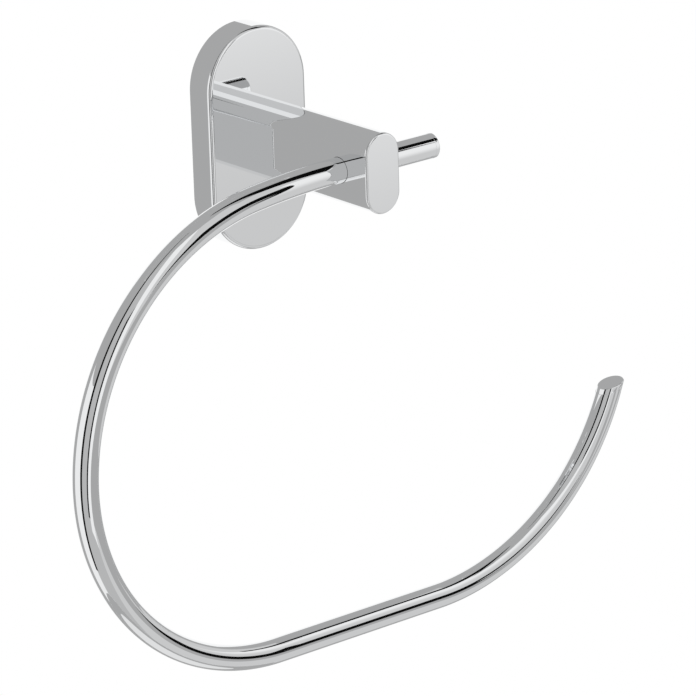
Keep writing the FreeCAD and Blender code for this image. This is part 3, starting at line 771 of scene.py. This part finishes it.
def rolled_edge(turn, radius, edge, slant, facing, share):
    """A point of the rolled edge: share 0 lies on the tube's side and 1 on the face."""
    outward = Vector((math.cos(turn), math.sin(turn), 0.0))
    ball = outward * (radius - edge)
    ball.z = ball.x * math.tan(slant) - edge / math.cos(slant)
    return ball + outward.slerp(facing, share) * edge


class TOWELRING_OT_caps(bpy.types.Operator):
    """End caps, one square on the stub and one slanting on the free end"""

    bl_idname = "towel_ring.caps"
    bl_label = "End caps"

    def execute(self, context):
        caps = settings().caps
        chrome = polished_chrome("polished_chrome_caps", wave_mm=20, wave_depth_mm=0.0004)
        stub_place = on_ring_plane((STUB_HIGH.x, RING_LEVEL))
        free_place = free_end()[0]
        free_heading = ring_runs()[-1].heading - 2 * math.pi
        plan = (
            ("stub_end", "stub_cap", stub_place, 0.0, 0.0, caps.joint),
            ("free_end", "free_end_cap", free_place, free_heading, caps.slant, caps.free_joint),
        )
        for name, node, place, heading, slant, joint in plan:
            piece = end_cap(name, slant, joint)
            turn = Matrix.Rotation(math.pi / 2 - heading, 4, "Y")
            piece.data.transform(Matrix.Translation(place) @ turn)
            piece.data.shade_smooth()
            piece.data.set_sharp_from_angle(angle=math.radians(30))
            dress(piece, node, chrome)
        return {"FINISHED"}


class TOWELRING_OT_hardware(bpy.types.Operator):
    """Finishes of the parts inside and behind, which keep their own meshes"""

    bl_idname = "towel_ring.hardware"
    bl_label = "Bracket and screws"

    def execute(self, context):
        finish = settings().finish
        nickel = turned_steel("nickel_plated_screws", finish.nickel, dull=0.35)
        oxide = turned_steel("black_oxide_set_screws", finish.oxide, dull=0.5)
        coats = {"wall_bracket": zinc_sheet()}
        for place in ("upper", "lower"):
            coats[f"arm_screw_{place}"] = nickel
            coats[f"arm_washer_{place}"] = nickel
        for screw in ("plate_set_screw", "ring_set_screw"):
            coats[screw] = oxide
        for node, material in coats.items():
            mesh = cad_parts[node].data
            mesh.materials.clear()
            mesh.materials.append(material)
        return {"FINISHED"}


# Studio


def camera_axes():
    """The camera's right, up and forward directions."""
    studio = settings().studio
    yaw, pitch, roll = studio.yaw, studio.pitch, studio.roll
    forward = Vector((math.sin(yaw) * math.cos(pitch), math.cos(yaw) * math.cos(pitch), -math.sin(pitch)))
    level = Vector((math.cos(yaw), -math.sin(yaw), 0.0))
    upright = level.cross(forward)
    right = level * math.cos(roll) + upright * math.sin(roll)
    return right, right.cross(forward), forward


# Where the camera and the lamp stand, in metres. With its angles and lens, the camera's place gives the
# photograph's view.
CAMERA_PLACE = Vector((-0.9103, -1.1660, 0.4260))
LAMP_PLACE = Vector((-0.5, -0.9, 1.1))

# A plain grey room round the object, for the chrome to reflect: name, tone, azimuths from and to, and
# elevations from and to, in degrees. The side that the camera looks towards stays open to the white
# background. Flags stand a little nearer than the walls, in metres.
WALL_DISTANCE = 2.0
FLAG_DISTANCE = 1.8
PANEL_STEPS = 24
PANELS = (
    ("ceiling", "wall", (-180, 180), (60, 90)),
    ("low", "wall", (-180, 180), (-90, -60)),
    ("left_wall", "wall", (-180, -136), (-60, 60)),
    ("left_high", "wall", (-136, -76), (18, 60)),
    ("left_softbox", "softbox", (-136, -76), (-60, 18)),
    ("front_wall", "pale_wall", (-76, -21), (-60, 60)),
    ("front_softbox", "softbox", (-21, 2), (-30, 60)),
    ("front_low", "pale_wall", (-21, 2), (-60, -30)),
    ("front_high", "screen", (2, 30), (-6, 60)),
    ("right_high", "wall", (30, 95), (50, 60)),
    ("right_screen", "screen", (30, 95), (-6, 50)),
    ("right_low", "wall", (2, 95), (-26, -6)),
    ("right_floor", "screen", (2, 95), (-60, -26)),
    ("back_high", "wall", (95, 180), (18, 60)),
    ("back_side", "wall", (95, 112), (-60, 18)),
    ("back_low", "wall", (112, 180), (-60, -42)),
    ("left_flag", "flag", (-83, -68), (-50, 84)),
    ("front_flag", "flag", (-31, -21), (-27, 28)),
    ("high_flag", "flag", (42, 75), (30, 84)),
    ("right_flag", "flag", (16, 60), (-4, 18)),
    ("right_low_flag", "flag", (33, 60), (-12, -4)),
)

# Two flat softboxes that stand upright in one plane, in front of the object and to its right: name,
# X from and to, and Z from and to, in millimetres. Their tone brightens upwards between the falloff's
# two heights. Only reflections show them and the room.
SOFTBOX_DEPTH = -185 * MM
FALLOFF_LOW, FALLOFF_HIGH = -90 * MM, 30 * MM
SOFTBOXES = (
    ("near_softbox", (60, 165), (-114, 95)),
    ("near_side_softbox", (165, 300), (-170, 160)),
)


def compass(azimuth, elevation):
    """Direction from the wall plate: azimuth 0 is straight off the wall and 90 is +X, in degrees."""
    turn, rise = math.radians(azimuth), math.radians(elevation)
    return Vector((math.sin(turn) * math.cos(rise), -math.cos(turn) * math.cos(rise), math.sin(rise)))


def even_steps(ends, steps):
    """Values in even steps from one end to the other."""
    first, last = ends
    return [first + (last - first) * step / steps for step in range(steps + 1)]


def far_panel(name, azimuths, elevations, distance):
    """A panel curved round the object, its face turned inwards."""
    mesh = bmesh.new()
    turns = even_steps(azimuths, PANEL_STEPS)
    rises = even_steps(elevations, PANEL_STEPS)
    grid = [[mesh.verts.new(compass(turn, rise) * distance) for turn in turns] for rise in rises]
    for lower, upper in zip(grid, grid[1:]):
        for index in range(PANEL_STEPS):
            mesh.faces.new((lower[index], lower[index + 1], upper[index + 1], upper[index]))
    return object_from(name, mesh)


def near_softbox(name, across, upright):
    """A flat upright softbox in front of the object, its face turned to the wall."""
    (left, right), (bottom, top) = across, upright
    corners = ((left, top), (right, top), (right, bottom), (left, bottom))
    mesh = bmesh.new()
    mesh.faces.new([mesh.verts.new((x * MM, SOFTBOX_DEPTH, z * MM)) for x, z in corners])
    return object_from(name, mesh)


def finish_glow(material, tree, tone):
    """Ends a studio material, whose tone reflections show and which lights nothing."""
    glow = add_node(tree, "ShaderNodeEmission", {"Color": tone})
    material.cycles.emission_sampling = "NONE"
    return finish_material(material, tree, glow)


def panel_tone(tone):
    """Studio panel: one even tone of the studio's."""
    material, tree = new_material(f"studio_{tone}")
    return finish_glow(material, tree, linear(getattr(settings().studio, tone)))


def softbox_falloff():
    """Near softboxes: a tone that brightens softly upwards, from the screens' to the softbox's own."""
    studio = settings().studio
    material, tree = new_material("studio_falloff")
    place = add_node(tree, "ShaderNodeTexCoord").outputs["Object"]
    parts = add_node(tree, "ShaderNodeSeparateXYZ", {"Vector": place})
    rise = add_node(tree, "ShaderNodeMapRange", {
        "Value": parts.outputs["Z"], "From Min": FALLOFF_LOW, "From Max": FALLOFF_HIGH,
    }, interpolation_type="SMOOTHSTEP")
    tone = add_node(tree, "ShaderNodeMix", {
        "Factor": rise.outputs["Result"],
        "A": linear(studio.screen),
        "B": linear(studio.softbox),
    }, data_type="RGBA")
    return finish_glow(material, tree, tone.outputs["Result"])


class TOWELRING_OT_studio(bpy.types.Operator):
    """Camera, floor, soft light all round, and the panels and softboxes that the chrome reflects"""

    bl_idname = "towel_ring.studio"
    bl_label = "Studio"

    def execute(self, context):
        self.add_camera(context)
        self.add_world(context)
        self.add_lamp(context)
        self.add_floor()
        self.add_panels()
        return {"FINISHED"}

    def add_camera(self, context):
        data = bpy.data.cameras.new("camera")
        data.lens = settings().studio.lens
        data.sensor_width = 36.0
        data.clip_start = 0.05
        camera = bpy.data.objects.new("camera", data)
        context.scene.collection.objects.link(camera)
        right, up, forward = camera_axes()
        turn = Matrix((right, up, -forward)).transposed().to_4x4()
        camera.matrix_world = Matrix.Translation(CAMERA_PLACE) @ turn
        context.scene.camera = camera

    def add_world(self, context):
        """Plain white all round, in which a colour renders as it is written."""
        world = bpy.data.worlds.new("studio")
        world.use_nodes = True
        context.scene.world = world
        tree = world.node_tree
        tree.nodes.clear()
        white = add_node(tree, "ShaderNodeBackground", {
            "Color": linear("#FFFFFF"), "Strength": settings().studio.world,
        })
        add_node(tree, "ShaderNodeOutputWorld", {"Surface": white.outputs[0]})

    def add_lamp(self, context):
        data = bpy.data.lights.new("soft_lamp", "AREA")
        data.energy = settings().studio.lamp
        data.size = settings().studio.lamp_size
        lamp = bpy.data.objects.new("soft_lamp", data)
        lamp.location = LAMP_PLACE
        lamp.rotation_euler = (-LAMP_PLACE).to_track_quat("-Z", "Y").to_euler()
        lamp.visible_glossy = False
        context.scene.collection.objects.link(lamp)

    def add_floor(self, sides=64):
        """A round floor far below, which shows from high views only."""
        studio = settings().studio
        reach = studio.floor_radius
        mesh = bmesh.new()
        rim = [(reach * math.cos(a), reach * math.sin(a), studio.floor) for a in full_turn(sides)]
        mesh.faces.new([mesh.verts.new(point) for point in rim])
        floor = object_from("floor", mesh)
        material, tree = new_material("pale_floor")
        matt = add_node(tree, "ShaderNodeBsdfDiffuse", {"Color": linear(studio.floor_colour)})
        floor.data.materials.append(finish_material(material, tree, matt))

    def add_panels(self):
        """The grey room and the near softboxes, seen in reflections and nowhere else."""
        tones = ("flag", "wall", "pale_wall", "screen", "softbox")
        coats = {tone: panel_tone(tone) for tone in tones}
        panels = []
        for name, tone, azimuths, elevations in PANELS:
            distance = FLAG_DISTANCE if tone == "flag" else WALL_DISTANCE
            panels.append((far_panel(name, azimuths, elevations, distance), coats[tone]))
        falloff = softbox_falloff()
        for name, across, upright in SOFTBOXES:
            panels.append((near_softbox(name, across, upright), falloff))
        for panel, coat in panels:
            panel.data.materials.append(coat)
            for ray in ("camera", "diffuse", "transmission", "volume_scatter", "shadow"):
                setattr(panel, f"visible_{ray}", False)


PIECES = (
    TOWELRING_OT_plate,
    TOWELRING_OT_arm,
    TOWELRING_OT_ring,
    TOWELRING_OT_caps,
    TOWELRING_OT_hardware,
    TOWELRING_OT_studio,
)


class TowelRingSettings(bpy.types.PropertyGroup):
    """Everything that a user can change."""

    plate: bpy.props.PointerProperty(type=PlateSizes)
    arm: bpy.props.PointerProperty(type=ArmSizes)
    ring: bpy.props.PointerProperty(type=RingSizes)
    caps: bpy.props.PointerProperty(type=CapSizes)
    finish: bpy.props.PointerProperty(type=Finishes)
    studio: bpy.props.PointerProperty(type=StudioSizes)


class TOWELRING_PT_panel(bpy.types.Panel):
    """Lists the steps that build the towel ring"""

    bl_idname = "TOWELRING_PT_panel"
    bl_label = "Towel Ring"
    bl_space_type = "VIEW_3D"
    bl_region_type = "UI"
    bl_category = "Towel Ring"

    def draw(self, context):
        column = self.layout.column()
        for piece in PIECES:
            column.operator(piece.bl_idname)


CLASSES = (PlateSizes, ArmSizes, RingSizes, CapSizes, Finishes, StudioSizes, TowelRingSettings,
           *PIECES, TOWELRING_PT_panel)


def register():
    for made in CLASSES:
        bpy.utils.register_class(made)
    bpy.types.Scene.towel_ring = bpy.props.PointerProperty(type=TowelRingSettings)


def unregister():
    del bpy.types.Scene.towel_ring
    for made in reversed(CLASSES):
        bpy.utils.unregister_class(made)


def main():
    """Builds the towel ring piece by piece, then its studio."""
    register()
    bpy.context.scene.view_settings.view_transform = "Standard"
    bpy.ops.towel_ring.plate()
    bpy.ops.towel_ring.arm()
    bpy.ops.towel_ring.ring()
    bpy.ops.towel_ring.caps()
    bpy.ops.towel_ring.hardware()
    bpy.ops.towel_ring.studio()


if __name__ == "__main__":
    main()
